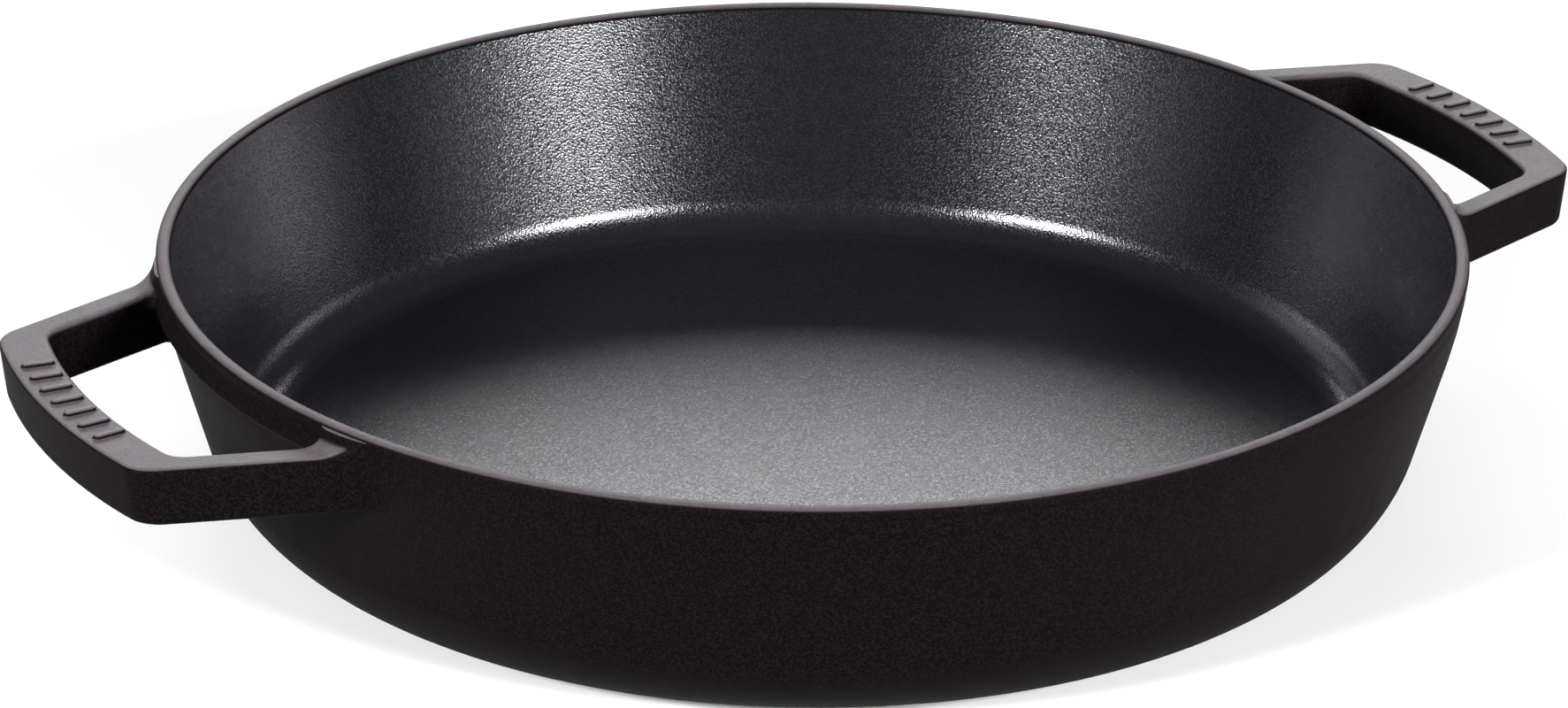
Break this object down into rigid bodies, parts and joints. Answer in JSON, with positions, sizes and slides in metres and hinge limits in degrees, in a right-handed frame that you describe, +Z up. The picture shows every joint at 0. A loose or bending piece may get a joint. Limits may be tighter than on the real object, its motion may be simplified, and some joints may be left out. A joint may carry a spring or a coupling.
{
  "type": "two-handled cast iron skillet",
  "caption": "Wide shallow round pan of black enamelled cast iron with flared walls, a flat cooking surface and a loop handle on each side",
  "frame": {"origin": "centre of the pan, on the plane that it stands on", "axes": "+Z up; the two loop handles lie along X, left at -X and right at +X; -Y is the front"},
  "size_m": [0.4278, 0.3398, 0.0675],
  "materials": {
    "iron_body": "matte",
    "rim_iron": "matte",
    "handle_iron": "matte",
    "rib_iron": "matte",
    "inner_enamel": "satin"
  },
  "bodies": {
    "root": {"floor_plate": "iron_body", "foot_ring": "iron_body", "heel": "iron_body", "side_wall": "iron_body", "rim": "rim_iron", "cooking_enamel": "inner_enamel", "root_left": "handle_iron", "root_right": "handle_iron", "arm_left_front": "handle_iron", "arm_left_back": "handle_iron", "arm_right_front": "handle_iron", "arm_right_back": "handle_iron", "grip_left": "handle_iron", "grip_right": "handle_iron", "rib_left_1": "rib_iron", "rib_left_2": "rib_iron", "rib_left_3": "rib_iron", "rib_left_4": "rib_iron", "rib_left_5": "rib_iron", "rib_left_6": "rib_iron", "rib_left_7": "rib_iron", "rib_right_1": "rib_iron", "rib_right_2": "rib_iron", "rib_right_3": "rib_iron", "rib_right_4": "rib_iron", "rib_right_5": "rib_iron", "rib_right_6": "rib_iron", "rib_right_7": "rib_iron"}
  },
  "joints": []
}
